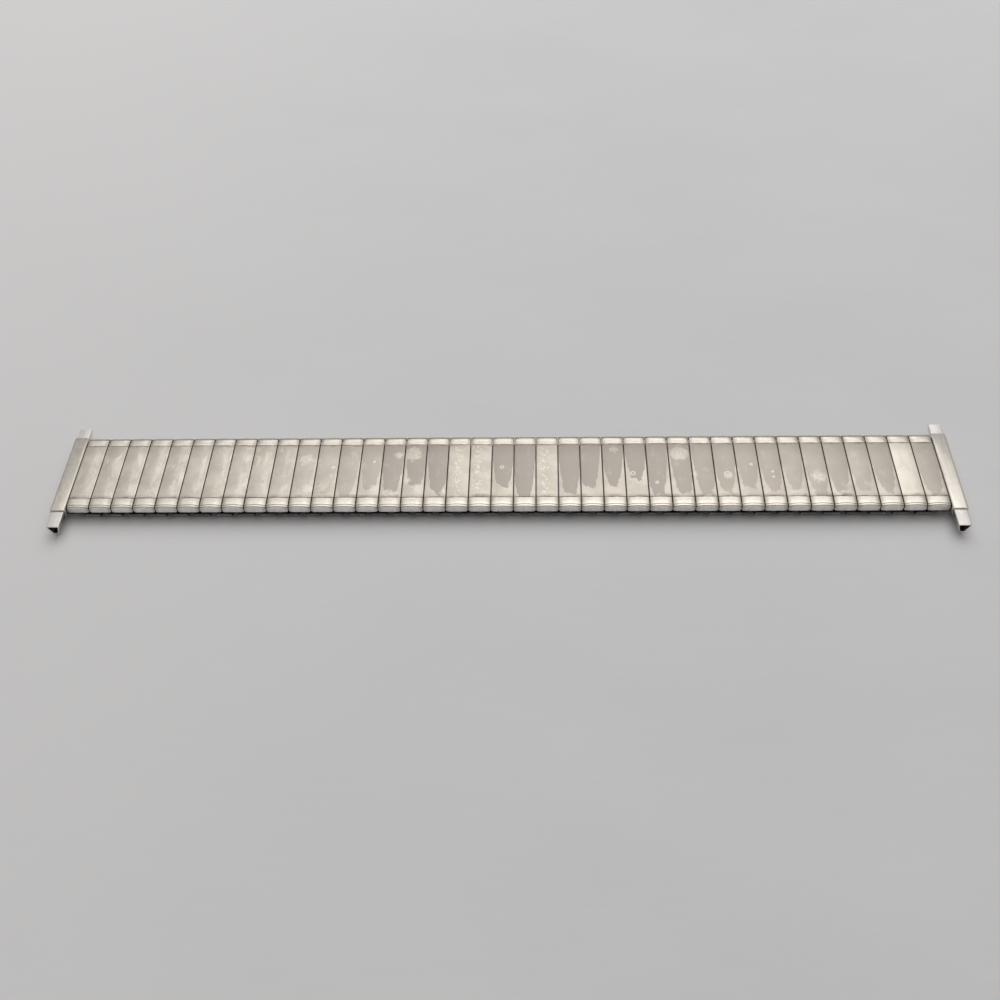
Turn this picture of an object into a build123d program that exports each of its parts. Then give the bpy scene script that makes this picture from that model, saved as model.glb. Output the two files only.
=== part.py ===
"""Expansion watch band: two rows of sprung links joined by bows, with telescoping ends.

The band lies flat, +X along it and +Z up, with the tops of its links upwards. The origin
is at the bottom centre of the box round it. Lengths are in millimetres.
"""

import os
from math import acos, atan2, cos, hypot, sin

from build123d import *

# The chain: one top link per pitch, and one bottom link under each gap between two of them
top_links = 39
link_pitch = 3.7
split_links = (1, 4, 8, 11, 15, 18, 22, 25, 29, 32, 36)
stretch = 1.15  # how far each top link can draw away from its left neighbour

# Sheet and wire
sleeve_wall = 0.15
shell_wall = 0.25
flap_wall = 0.20
bow_wire = 0.42
leaf_thick = 0.12

# Clearances
row_gap = 0.06  # between the sleeves of the two rows
leg_clear = 0.02  # a bow's leg to the wall that it lies against
leg_side_clear = 0.04
web_clear = 0.06  # a bow's web to the ends of the sleeves
web_flap_clear = 0.09
leaf_clear = 0.03

# Sleeves
sleeve_height = 1.40
sleeve_corner = 0.30
sleeve_inner_corner = sleeve_corner - sleeve_wall
top_sleeve_gap = 0.20
bottom_sleeve_gap = 0.60

# Top shells
band_width = 15.5
shell_gap = 0.12
shell_flap_foot = 1.75  # height of the shell's lower edge above the floor
panel_length = 11.3
step_width = 0.15
step_depth = 0.07
end_slope = 0.07
ridge_from_panel = 1.10
ridge_step = 0.06
shoulder_radius = 0.42
shell_inner_corner = 0.50
crease_drop = 0.60
crease_width = 0.12
crease_depth = 0.08
lip_inset = 0.04
flap_corner = 0.40

# Bottom links
bottom_flap_width = 2.60
bottom_flap_top = 0.92
bottom_flap_corner = 0.30
bottom_flap_bend = 0.35
bottom_setback = 0.35  # from the shells' flaps to the bottom links' flaps

# Bows and leaf springs
leg_length = 4.0
bow_bend = 0.45
leaf_length = 12.0
leaf_rise = 0.28
leaf_side_clear = 0.25

# End pieces: the hollow of a telescoping tube, and the sheets that close round it
hollow_half_width = 0.86
hollow_height = 1.60
hollow_bottom_radius = 0.45
tube_wall = 0.20
bore_clear = 0.10
mouth_clear = 0.04
casing_wall = 0.20
casing_top = 2.75
casing_length = 16.0
casing_to_shell = 0.10
mouth_length = 0.40
casing_edge = 0.08
tube_length = 4.85
collar_length = 1.00
collar_grow = 0.07
tube_end_wall = 0.35
spring_bar_hole = 1.15
front_tube_out = 3.20
back_tube_out = 2.30
connector_hollow_reach = 0.25

# Coil springs
coil_wire = 0.18
coil_diameter = 1.60
coil_turns = 15
coil_seat_clear = 0.03

# Cuts run this far past the faces that they go through
overrun = 0.5

# Heights and half lengths that the sizes above give
wire_radius = bow_wire / 2
top_floor = sleeve_height + row_gap
top_roof = top_floor + sleeve_height
band_height = top_roof + shell_wall
half_width = band_width / 2
flap_inner = half_width - shell_wall
bottom_half_length = half_width - bottom_setback
web_y = bottom_half_length - flap_wall - web_flap_clear - wire_radius
sleeve_half_length = web_y - wire_radius - web_clear
top_sleeve_width = link_pitch - top_sleeve_gap
bottom_sleeve_width = link_pitch - bottom_sleeve_gap
shell_width = link_pitch - shell_gap

# Places along a link, from the left edge of its top link's pitch
bottom_left = link_pitch - bottom_sleeve_width / 2
bottom_right = bottom_left + bottom_sleeve_width
hinge_x = bottom_left + sleeve_corner
hinge_z = sleeve_height - sleeve_corner
top_inner_left = top_sleeve_gap / 2 + sleeve_wall

# Bows: where their legs lie. The left bows of a bottom link stand on its hinge line, and
# the right ones reach into the next top link, with the stretch to run in.
low_leg_z = sleeve_wall + wire_radius + leg_clear
high_leg_z = top_roof - sleeve_wall - wire_radius - leg_clear
left_low_x = bottom_left + sleeve_wall + wire_radius + leg_side_clear
left_high_x = hinge_x
right_low_x = bottom_right - sleeve_wall - wire_radius - leg_side_clear
right_high_x = link_pitch + top_inner_left + wire_radius + leg_side_clear + stretch

# The band's ends
band_start = -top_links * link_pitch / 2
band_end = -band_start
casing_grow = tube_wall + bore_clear + casing_wall
casing_half_width = hollow_half_width + casing_grow
hollow_top = casing_top - casing_grow
left_casing_x = band_start - casing_to_shell - casing_half_width
right_casing_x = -left_casing_x

# The front tubes stand out further than the back ones, so the links lie behind the centre
band_y = (front_tube_out - back_tube_out) / 2


def link_x(number):
    """Left edge of the pitch of a top link, counted from 1 at the left end."""
    return band_start + (number - 1) * link_pitch


def write(name, pieces, x):
    """Write separate solids as one node, moved to their place in the band."""
    place = Location((x, band_y, 0))
    placed = [solid for piece in pieces for solid in piece.moved(place).solids()]
    node = placed[0] if len(placed) == 1 else Compound(placed)
    node.label = name
    export_step(node, f"parts/{name}.step")
    print(name, len(placed), round(sum(solid.volume for solid in placed), 3))


def shell_outline(y_sign):
    """One end zone of the shell's outer line, from the panel's edge to the flap's foot."""
    panel = panel_length / 2
    ridge = panel + ridge_from_panel
    ridge_top = band_height - end_slope
    shoulder_top = ridge_top - ridge_step
    crease = band_height - crease_drop
    points = [
        (panel, band_height),
        (panel, band_height - step_depth),
        (panel + step_width, band_height - step_depth),
        (panel + step_width, band_height),
        (ridge, ridge_top),
        (ridge + ridge_step, shoulder_top),
        (half_width - shoulder_radius, shoulder_top),
    ]
    flap = [
        (half_width, shoulder_top - shoulder_radius),
        (half_width, crease),
        (half_width - crease_depth, crease - crease_width / 2),
        (half_width - lip_inset, crease - crease_width),
        (half_width - lip_inset, shell_flap_foot),
    ]
    points = [(y_sign * y, z) for y, z in points]
    flap = [(y_sign * y, z) for y, z in flap]
    return points, flap


# One top shell: a flat satin panel that steps down into polished ends and folds into flaps
front_points, front_flap = shell_outline(-1)
back_points, back_flap = shell_outline(1)
inner_flat = flap_inner - shell_inner_corner
inner_turn = top_roof - shell_inner_corner
with BuildPart() as top_shell:
    with BuildSketch(Plane.YZ.offset(shell_gap / 2)):
        with BuildLine():
            Polyline(*front_points)
            Polyline(*back_points)
            Line(front_points[0], back_points[0])
            RadiusArc(front_points[-1], front_flap[0], -shoulder_radius)
            RadiusArc(back_points[-1], back_flap[0], shoulder_radius)
            Polyline(*front_flap)
            Polyline(*back_flap)
            Line(front_flap[-1], (-flap_inner, shell_flap_foot))
            Line(back_flap[-1], (flap_inner, shell_flap_foot))
            Line((-flap_inner, shell_flap_foot), (-flap_inner, inner_turn))
            Line((flap_inner, shell_flap_foot), (flap_inner, inner_turn))
            RadiusArc((-flap_inner, inner_turn), (-inner_flat, top_roof), shell_inner_corner)
            RadiusArc((flap_inner, inner_turn), (inner_flat, top_roof), -shell_inner_corner)
            Line((-inner_flat, top_roof), (inner_flat, top_roof))
        make_face()
    extrude(amount=shell_width)
    fillet(top_shell.edges().filter_by(Axis.Y).group_by(Axis.Z)[0], radius=flap_corner)

# One top sleeve: a flat tube of thin sheet, open at the front and back
with BuildPart() as top_sleeve:
    with BuildSketch(Plane.XZ.offset(-sleeve_half_length)):
        with Locations((link_pitch / 2, top_floor + sleeve_height / 2)):
            RectangleRounded(top_sleeve_width, sleeve_height, sleeve_corner)
            RectangleRounded(
                top_sleeve_width - 2 * sleeve_wall,
                sleeve_height - 2 * sleeve_wall,
                sleeve_inner_corner,
                mode=Mode.SUBTRACT,
            )
    extrude(amount=2 * sleeve_half_length)

# One bottom sleeve, with a low flap turned up at each end to cover the webs of the bows
with BuildPart() as bottom_sleeve:
    with BuildSketch(Plane.XZ.offset(-sleeve_half_length)):
        with Locations((link_pitch, sleeve_height / 2)):
            RectangleRounded(bottom_sleeve_width, sleeve_height, sleeve_corner)
            RectangleRounded(
                bottom_sleeve_width - 2 * sleeve_wall,
                sleeve_height - 2 * sleeve_wall,
                sleeve_inner_corner,
                mode=Mode.SUBTRACT,
            )
    extrude(amount=2 * sleeve_half_length)
    bend_inner = bottom_flap_bend - sleeve_wall
    for side in (-1, 1):
        with BuildSketch(Plane.YZ.offset(link_pitch - bottom_flap_width / 2)):
            with BuildLine():
                outer_face = side * bottom_half_length
                inner_face = side * (bottom_half_length - flap_wall)
                tongue = side * (sleeve_half_length - sleeve_wall)
                outer_turn = (outer_face - side * bottom_flap_bend, 0)
                outer_foot = (outer_face, bottom_flap_bend)
                inner_foot = (inner_face, bottom_flap_bend)
                inner_turn_end = (inner_face - side * bend_inner, sleeve_wall)
                Line((tongue, 0), outer_turn)
                RadiusArc(outer_turn, outer_foot, -side * bottom_flap_bend)
                Polyline(
                    outer_foot,
                    (outer_face, bottom_flap_top),
                    (inner_face, bottom_flap_top),
                    inner_foot,
                )
                RadiusArc(inner_foot, inner_turn_end, side * bend_inner)
                Line(inner_turn_end, (tongue, sleeve_wall))
                Line((tongue, sleeve_wall), (tongue, 0))
            make_face()
        extrude(amount=bottom_flap_width)
    flap_tops = bottom_sleeve.edges().filter_by(Axis.Y).filter_by_position(
        Axis.Z, bottom_flap_top, bottom_flap_top
    )
    fillet(flap_tops, radius=bottom_flap_corner)


def leaf_outline(middle_z, end_z):
    """A bowed strip along Y: its middle and both ends, at half its thickness up and down."""
    half = leaf_length / 2
    low = [(-half, end_z), (0, middle_z), (half, end_z)]
    return low, [(y, z + leaf_thick) for y, z in low]


# One leaf spring of the top row: its middle on the floor, its ends raised to the legs
top_leaf_z = top_floor + sleeve_wall + leaf_clear
top_leaf_low, top_leaf_high = leaf_outline(top_leaf_z, top_leaf_z + leaf_rise)
leaf_inset = sleeve_wall + leaf_side_clear
with BuildPart() as top_leaf:
    with BuildSketch(Plane.YZ.offset(top_sleeve_gap / 2 + leaf_inset)):
        with BuildLine():
            ThreePointArc(*top_leaf_low)
            ThreePointArc(*top_leaf_high)
            Line(top_leaf_low[0], top_leaf_high[0])
            Line(top_leaf_low[2], top_leaf_high[2])
        make_face()
    extrude(amount=top_sleeve_width - 2 * leaf_inset)

# One leaf spring of the bottom row: its middle at the roof, its ends bent down to the legs
bottom_leaf_z = sleeve_height - sleeve_wall - leaf_clear - leaf_thick
bottom_leaf_low, bottom_leaf_high = leaf_outline(bottom_leaf_z, bottom_leaf_z - leaf_rise)
with BuildSketch() as bottom_leaf_face:
    with BuildLine():
        ThreePointArc(*bottom_leaf_low)
        ThreePointArc(*bottom_leaf_high)
        Line(bottom_leaf_low[0], bottom_leaf_high[0])
        Line(bottom_leaf_low[2], bottom_leaf_high[2])
    make_face()
with BuildPart() as bottom_leaf:
    with BuildSketch(Plane.YZ.offset(bottom_left + leaf_inset)):
        add(bottom_leaf_face.sketch)
    extrude(amount=bottom_sleeve_width - 2 * leaf_inset)


def bow_route(low_x, high_x, side):
    """Corners of a bow's wire: lower leg, web and upper leg, at the front or the back."""
    inner = side * (web_y - leg_length)
    outer = side * web_y
    return [
        (low_x, inner, low_leg_z),
        (low_x, outer, low_leg_z),
        (high_x, outer, high_leg_z),
        (high_x, inner, high_leg_z),
    ]


# The left bows of a bottom link, whose upper legs lie in the top link before it
with BuildPart() as left_bows:
    for side in (-1, 1):
        route = bow_route(left_low_x, left_high_x, side)
        with BuildLine() as left_wire:
            FilletPolyline(*route, radius=bow_bend)
        with BuildSketch(Plane(origin=route[0], z_dir=(0, side, 0))):
            Circle(wire_radius)
        sweep(path=left_wire.wires()[0])

# The right bows of a bottom link, whose upper legs lie in the top link after it
with BuildPart() as right_bows:
    for side in (-1, 1):
        route = bow_route(right_low_x, right_high_x, side)
        with BuildLine() as right_wire:
            FilletPolyline(*route, radius=bow_bend)
        with BuildSketch(Plane(origin=route[0], z_dir=(0, side, 0))):
            Circle(wire_radius)
        sweep(path=right_wire.wires()[0])

# The hollow of a telescoping tube in cross-section: flat on top, narrowing to a round
# bottom. Its sides lean in, and the largest round bar that it takes touches them and the top.
straight_depth = hollow_height - hollow_bottom_radius
side_lean = acos(hollow_bottom_radius / hypot(hollow_half_width, straight_depth)) - atan2(
    straight_depth, hollow_half_width
)
bar_drop = hollow_half_width * cos(side_lean) / (1 + sin(side_lean))
turn_x = hollow_bottom_radius * cos(side_lean)
turn_y = -straight_depth - hollow_bottom_radius * sin(side_lean)
with BuildSketch() as hollow:
    with BuildLine():
        Polyline((-turn_x, turn_y), (-hollow_half_width, 0), (hollow_half_width, 0), (turn_x, turn_y))
        ThreePointArc((turn_x, turn_y), (0, -hollow_height), (-turn_x, turn_y))
    make_face()


def section_at(x, y):
    """Plane of an end piece's cross-section, from which its length runs towards the front."""
    return Plane(origin=(x, y, hollow_top), x_dir=(1, 0, 0), z_dir=(0, -1, 0))


# The outer tube of an end piece, whose mouths are drawn in to hold the telescoping tubes
half_casing = casing_length / 2
with BuildSketch() as casing_outline:
    offset(hollow.sketch, amount=casing_grow)
with BuildPart() as casing:
    with BuildSketch(section_at(0, half_casing)):
        add(casing_outline.sketch)
    extrude(amount=casing_length)
    fillet(casing.faces().filter_by(Axis.Y).edges(), radius=casing_edge)
    with BuildSketch(section_at(0, half_casing + overrun)):
        offset(hollow.sketch, amount=tube_wall + mouth_clear)
    extrude(amount=casing_length + 2 * overrun, mode=Mode.SUBTRACT)
    with BuildSketch(section_at(0, half_casing - mouth_length)):
        offset(hollow.sketch, amount=tube_wall + bore_clear)
    extrude(amount=casing_length - 2 * mouth_length, mode=Mode.SUBTRACT)

# The front telescoping tube, pressed right in. Its collar stops it at the mouth, and its
# inner end is closed but for the hole that the watch's spring bar goes through.
tube_inner_end = tube_length - half_casing
with BuildPart() as pressed_tube:
    with BuildSketch(section_at(0, tube_inner_end)):
        offset(hollow.sketch, amount=tube_wall)
    extrude(amount=tube_length)
    with BuildSketch(section_at(0, tube_inner_end)):
        offset(hollow.sketch, amount=tube_wall + collar_grow)
    extrude(amount=collar_length)
    with BuildSketch(section_at(0, tube_inner_end - tube_end_wall)):
        add(hollow.sketch)
    extrude(amount=tube_length, mode=Mode.SUBTRACT)
    with BuildSketch(section_at(0, tube_inner_end + overrun)):
        with Locations((0, -bar_drop)):
            Circle(spring_bar_hole / 2)
    extrude(amount=tube_end_wall + 2 * overrun, mode=Mode.SUBTRACT)
front_tube = pressed_tube.part.moved(Location((0, -front_tube_out, 0)))
back_tube = mirror(pressed_tube.part, about=Plane.XZ).moved(Location((0, back_tube_out, 0)))

# The coil spring that pushes the two telescoping tubes of an end piece apart
coil_front = tube_inner_end - front_tube_out + coil_seat_clear + coil_wire / 2
coil_back = back_tube_out - tube_inner_end - coil_seat_clear - coil_wire / 2
coil_length = coil_back - coil_front
with BuildPart() as coil_spring:
    with BuildLine() as coil_path:
        Helix(
            pitch=coil_length / coil_turns,
            height=coil_length,
            radius=(coil_diameter - coil_wire) / 2,
            center=(0, coil_front, hollow_top - bar_drop),
            direction=(0, 1, 0),
        )
    with BuildSketch(Plane(origin=coil_path.line @ 0, z_dir=coil_path.line % 0)):
        Circle(coil_wire / 2)
    sweep(path=coil_path.wires()[0], is_frenet=True)

# The left connector: half a bottom sleeve, seated against its casing
casing_low = -casing_to_shell - casing_half_width
left_tongue_edge = bottom_right - link_pitch
with BuildPart() as left_connector:
    with BuildSketch(Plane.XZ.offset(-sleeve_half_length)):
        with Locations(((casing_low + left_tongue_edge) / 2, sleeve_height / 2)):
            RectangleRounded(left_tongue_edge - casing_low, sleeve_height, sleeve_corner)
        hollow_edge = left_tongue_edge - sleeve_wall
        with Locations(((hollow_edge - connector_hollow_reach) / 2, sleeve_height / 2)):
            RectangleRounded(
                hollow_edge + connector_hollow_reach,
                sleeve_height - 2 * sleeve_wall,
                sleeve_inner_corner,
                mode=Mode.SUBTRACT,
            )
        with Locations((casing_low, hollow_top)):
            add(casing_outline.sketch, mode=Mode.SUBTRACT)
    extrude(amount=2 * sleeve_half_length)

# The right connector is the left one turned round
right_connector = mirror(left_connector.part, about=Plane.YZ)

# The leaf spring in a connector, as in a bottom sleeve but narrower
connector_leaf_width = hollow_edge + connector_hollow_reach - 2 * leaf_side_clear
with BuildPart() as left_connector_leaf:
    with BuildSketch(Plane.YZ.offset(leaf_side_clear - connector_hollow_reach)):
        add(bottom_leaf_face.sketch)
    extrude(amount=connector_leaf_width)
right_connector_leaf = mirror(left_connector_leaf.part, about=Plane.YZ)

os.makedirs("parts", exist_ok=True)
bottom_row = [bottom_sleeve.part, bottom_leaf.part, left_bows.part, right_bows.part]
top_row = [top_shell.part, top_sleeve.part, top_leaf.part]
for number in range(1, top_links):
    if number in split_links:
        write(f"top_link_{number:02d}", top_row, link_x(number))
        write(f"bottom_link_{number:02d}", bottom_row, link_x(number))
    else:
        write(f"link_{number:02d}", top_row + bottom_row, link_x(number))
write(f"top_link_{top_links:02d}", top_row, link_x(top_links))

left_connector_pieces = [left_connector.part, left_connector_leaf.part]
left_bow_pieces = [right_bows.part.moved(Location((-link_pitch, 0, 0)))]
write("left_connector", left_connector_pieces + left_bow_pieces, band_start)
right_bow_pieces = [left_bows.part.moved(Location((-link_pitch, 0, 0)))]
write("right_connector", [right_connector, right_connector_leaf] + right_bow_pieces, band_end)
for end, casing_x in (("left", left_casing_x), ("right", right_casing_x)):
    write(f"{end}_casing", [casing.part], casing_x)
    write(f"{end}_front_tube", [front_tube], casing_x)
    write(f"{end}_back_tube", [back_tube], casing_x)
    write(f"{end}_coil_spring", [coil_spring.part], casing_x)
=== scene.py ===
"""Looks of the expansion watch band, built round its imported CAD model.

Pieces are drawn in millimetres in the band's own frame and scaled to metres once.
"""

from math import acos, atan2, cos, hypot, pi, radians, sin, sqrt

import bmesh
import bpy
from mathutils import Matrix, Vector


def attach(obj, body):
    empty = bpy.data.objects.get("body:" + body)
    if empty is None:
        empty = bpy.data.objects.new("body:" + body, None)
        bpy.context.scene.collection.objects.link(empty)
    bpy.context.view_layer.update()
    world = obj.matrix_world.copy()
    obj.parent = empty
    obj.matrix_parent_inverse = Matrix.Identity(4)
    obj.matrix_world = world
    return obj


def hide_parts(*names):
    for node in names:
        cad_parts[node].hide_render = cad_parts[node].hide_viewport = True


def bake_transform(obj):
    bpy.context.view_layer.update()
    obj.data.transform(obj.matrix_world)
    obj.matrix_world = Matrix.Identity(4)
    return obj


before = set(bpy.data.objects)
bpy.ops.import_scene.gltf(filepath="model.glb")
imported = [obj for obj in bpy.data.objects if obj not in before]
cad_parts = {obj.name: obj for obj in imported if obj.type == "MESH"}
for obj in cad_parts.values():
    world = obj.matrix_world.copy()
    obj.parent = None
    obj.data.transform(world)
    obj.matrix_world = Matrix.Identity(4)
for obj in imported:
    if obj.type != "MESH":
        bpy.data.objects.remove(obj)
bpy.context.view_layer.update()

MM = 0.001

# The chain
TOP_LINKS = 39
PITCH = 3.7
SPLIT_LINKS = (1, 4, 8, 11, 15, 18, 22, 25, 29, 32, 36)
START = -TOP_LINKS * PITCH / 2
BAND_Y = 0.45

# Materials of a shell's faces and of a sleeve's, in the order of their slots
SATIN, POLISHED, GROOVE, LIP, PLAIN, STEP = range(6)
# Sleeve faces: the outside, the inside and rims in painted shade, and the flaps
OUTSIDE, SHADED, FLAP = range(3)

# Top shells: the centre panel and the sunk line at its end
SHELL_GAP = 0.12
SHELL_HALF = (PITCH - SHELL_GAP) / 2
BAND_HEIGHT = 3.11
CROWN = 0.11
HALF_WIDTH = 7.75
PANEL_HALF = 5.62
PANEL_STATIONS = (0.0, 1.1, 2.2, 3.3, 4.4, 5.2, 5.53)
PANEL_EDGE_DROP = 0.012
STEP_END = 5.81
STEP_DEPTH = 0.06
STEP_WALL_RUN = 0.02
STEP_RISE_RUN = 0.03
STEP_EDGE_DROP = 0.02

# Top shells: the swelling polished end, and the groove along its ridge as (run, rise, material)
END_STATIONS = (0.06, 0.18, 0.32, 0.48, 0.64, 0.8, 0.92)
END_DROP = 0.01
END_FALL = 0.06
END_SWELL = 0.13
RIDGE = 7.07
RIDGE_BEND = 0.11
RIDGE_CROWN = 0.05
RIDGE_CROWN_START = 3
RIDGE_GROOVE = (
    (0.0, 0.06, GROOVE), (0.03, 0.01, GROOVE), (0.07, 0.01, GROOVE), (0.10, 0.05, POLISHED),
)

# Top shells: the shoulder, with turns in degrees, and the flap below it
SHOULDER_TOP = 0.13
SHOULDER_RADIUS = 0.42
SHOULDER_STATIONS = ((1.0, POLISHED), (0.7, POLISHED), (0.4, LIP))
SHOULDER_END_TURN = 8.0
CREASE_TURN = 66
CREASE_BEND = 16
CREASE_WIDTH = 12
CREASE_WALLS = (0.3, 0.7)
CREASE_DEPTH = 0.06
LIP_FLARE = 0.07
FLARE_MIDDLE = 0.4
FLARE_MIDDLE_DROP = 0.1
FLAP_FOOT = 1.75
FLAP_CORNER = 0.40
FLAP_INNER = 7.50
FOOT_ROUND = 0.06
FOOT_INSET = 0.05
SHELL_UNDER = 2.86
SHELL_LEAST_WALL = 0.02
INNER_CORNER = 0.50
EDGE_STATIONS = (0.0, 0.02, 0.06, 0.13, 0.22, 0.34, 0.50, 0.80, 1.25)
EDGE_ROUND = (0.07, 0.03, 0.008)

# Sleeves and the flaps turned up at the bottom sleeves' ends
SLEEVE_HEIGHT = 1.40
SLEEVE_WALL = 0.15
SLEEVE_CORNER = 0.30
SLEEVE_HALF_LENGTH = 6.63
TOP_FLOOR = 1.46
TOP_SLEEVE_WIDTH = 3.50
BOTTOM_SLEEVE_WIDTH = 3.10
BOTTOM_FLAP_WIDTH = 2.60
BOTTOM_FLAP_TOP = 0.86
BOTTOM_FLAP_CORNER = 0.30
BOTTOM_FLAP_BEND = 0.35
BOTTOM_FLAP_STATIONS = (0.35, 0.55, 0.7, 0.82, 0.92, 0.98, 1.0)
BOTTOM_FLAP_TIP = 0.001
# How far down the painted shade reaches on a bottom flap's upper edge
BOTTOM_FLAP_SHADE_BAND = 0.16
BOTTOM_HALF_LENGTH = 7.40
FLAP_WALL = 0.20

# Leaf springs and bows, with the bows' legs at (low, high) places along the link
LEAF_LENGTH = 12.0
LEAF_THICK = 0.12
LEAF_RISE = 0.28
LEAF_CLEAR = 0.03
LEAF_SIDE = 0.40
LEAF_STEPS = 16
WIRE_RADIUS = 0.21
WEB_Y = 6.90
LEG_LENGTH = 4.0
BOW_BEND = 0.45
LOW_LEG_Z = 0.38
HIGH_LEG_Z = 2.48
LEFT_BOW = (2.55, 2.45)
RIGHT_BOW = (4.85, 5.35)

# End pieces. A GROW is how far an outline stands out from the tubes' hollow.
HOLLOW_HALF = 0.86
HOLLOW_DEPTH = 1.15
HOLLOW_ROUND = 0.45
HOLLOW_TOP = 2.25
CASING_GROW = 0.50
BORE_GROW = 0.30
MOUTH_GROW = 0.24
TUBE_GROW = 0.20
TUBE_RIM_GROW = 0.03
COLLAR_GROW = 0.27
CASING_HALF = 8.0
CASING_EDGE = 0.09
CASING_EDGE_SHARE = 0.3
CASING_STEPS = 8
MOUTH_LENGTH = 0.40
MOUTH_SLOPE = 0.06
TUBE_LENGTH = 4.85
TUBE_EDGE = 0.04
TUBE_RIM_DEPTH = 0.03
COLLAR_LENGTH = 1.0
TUBE_END_WALL = 0.35
TUBE_OUT = {"front": 3.2, "back": 2.3}
BAR_HOLE = 0.575
CASING_OUT = 1.46
CASING_X = {"left": START - CASING_OUT, "right": -START + CASING_OUT}
COIL_RADIUS = 0.71
COIL_WIRE = 0.09
COIL_TURNS = 15
COIL_STEPS = 150
COIL_CLEAR = 0.12
SIDE_LEAN = acos(HOLLOW_ROUND / hypot(HOLLOW_HALF, HOLLOW_DEPTH)) - atan2(
    HOLLOW_DEPTH, HOLLOW_HALF
)
BAR_DROP = HOLLOW_HALF * cos(SIDE_LEAN) / (1 + sin(SIDE_LEAN))

# Colours of the panels
WARM_PALE = (0.82, 0.775, 0.68, 1)
WARM_LIGHT = (0.69, 0.637, 0.56, 1)
WARM_MID = (0.575, 0.527, 0.462, 1)
WARM_DARK = (0.45, 0.41, 0.365, 1)
# Dark brown of the soiling and painted shade near the panels' sunk lines, and of the painted shade
# at their back ends and along the links' sides
DIRT_AND_SHADE_TONE = (0.24, 0.20, 0.16, 1)

# Marks on the panels. A RAMP turns a value between its first two numbers into one between its
# last two, or between 0 and 1. Lengths are in millimetres, and places are (x, y, radius).
FILM_REACH = (-5.6, -3.4)
FILM_LEAN = 0.35
FILM_TIP_POWER = 3.4
FILM_TIP_LENGTH = 8.0
FILM_WARP = 5.0
FILM_RIM = 0.45
FILM_EDGE_RAMP = (20.0, 32.0, 0.12, 0.45)
FILM_SPREAD_RAMP = (-45.0, -12.0, 0.1, 1.0)
FILM_DRAW_RAMP = (0.0, 0.3, 0.7, 1.0)
FILM_THIN_RAMP = (22.0, 40.0, 1.0, 0.75)
FILM_ROUGHER = 0.12
SHORT_TONGUES_X = 18.5
SHORT_TONGUES_RAMP = (3.7, 6.6, 1.9, 0.0)
LACE_ACROSS = -0.15
LACE_RAMP = (0.15, 0.62, 1.0, 0.0)
STRAY_LACE = 0.8
BRIGHT_RAMP = (0.52, 0.60)
DUSKY_SPECK = 0.49
DUSKY_RAMP = (0.0, 0.035, 1.0, 0.0)
DUSKY_SHARE = 0.55
STREAK_ACROSS = 0.4
STREAK_RAMP = (0.1, 0.5, 1.0, 0.0)
STREAK_PATCH_RAMP = (0.38, 0.68)
STREAK_END_RAMP = (-38.0, -32.0, 0.75, 0.0)
CLEAN_RAMP = (0.3, 0.6, 0.45, 0.9)
PUDDLE_WANDER = 2.6
PUDDLE_FADE = (-0.35, 0.1)
PUDDLE_SHARE = 0.65
PUDDLE_RIM_RAMP = (0.0, 0.16, 0.25, 0.0)
PUDDLE_MOTTLE_RAMP = (0.35, 0.62, 0.55, 1.1)
RING_RAMP = (0.0, 0.16, 1.0, 0.0)
RIM_SHARE = 0.3
HAZE_RAMP = (0.3, 0.7)
BLOTCH_RAMP = (0.56, 0.70, 0.0, 0.6)
BLOTCH_SPREAD_RAMP = (0.1, 1.0, 1.0, 0.25)
# Soiling and painted shade beside the sunk lines, and painted shade darkening the back ends
SOILING_AND_SHADE_WANDER = 0.8
SOILING_AND_SHADE_RAMP = (PANEL_HALF - 0.7, PANEL_HALF + 0.1, 0.0, 0.8)
CLUMP_RAMP = (0.42, 0.66, 0.35, 1.0)
BACK_END_SHADE_RAMP = (PANEL_HALF - 3.2, PANEL_HALF + 0.2, 0.0, 0.27)
PANEL_ROUGH_RAMP = (0.2, 0.8, 0.28, 0.36)
PANEL_BUMP = 0.3
PANEL_BUMP_HEIGHT = 0.000006
SCRATCH_HEIGHT = 0.5
MARK_HEIGHT = 0.5
LACED_PANELS = (18, 19, 22)
CLEAN_PANEL = 38
RINGS = (
    (-0.14, 1.08, 0.28),
    (-28.56, 1.22, 0.22),
    (-21.72, 2.35, 0.14),
    (21.63, -0.34, 0.34),
    (25.50, -2.33, 0.22),
    (37.24, -0.66, 0.55),
    (41.28, 1.50, 0.20),
    (44.64, -0.12, 0.15),
    (44.65, -1.21, 0.15),
)
PUDDLES = (
    (-33.4, 2.9, 1.15),
    (-32.4, -3.4, 0.9),
    (-30.1, -3.2, 0.8),
    (-21.2, -3.6, 0.9),
    (-17.6, 3.8, 0.7),
    (-18.8, -4.4, 0.8),
    (-15.2, 4.1, 1.5),
    (-15.9, -1.8, 0.6),
    (-14.0, -3.4, 0.8),
    (-9.7, -4.0, 0.6),
    (18.6, 4.9, 0.6),
    (29.5, 3.9, 1.5),
    (31.8, -0.6, 0.5),
    (37.4, -0.9, 0.6),
    (52.1, -1.2, 1.2),
)

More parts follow.
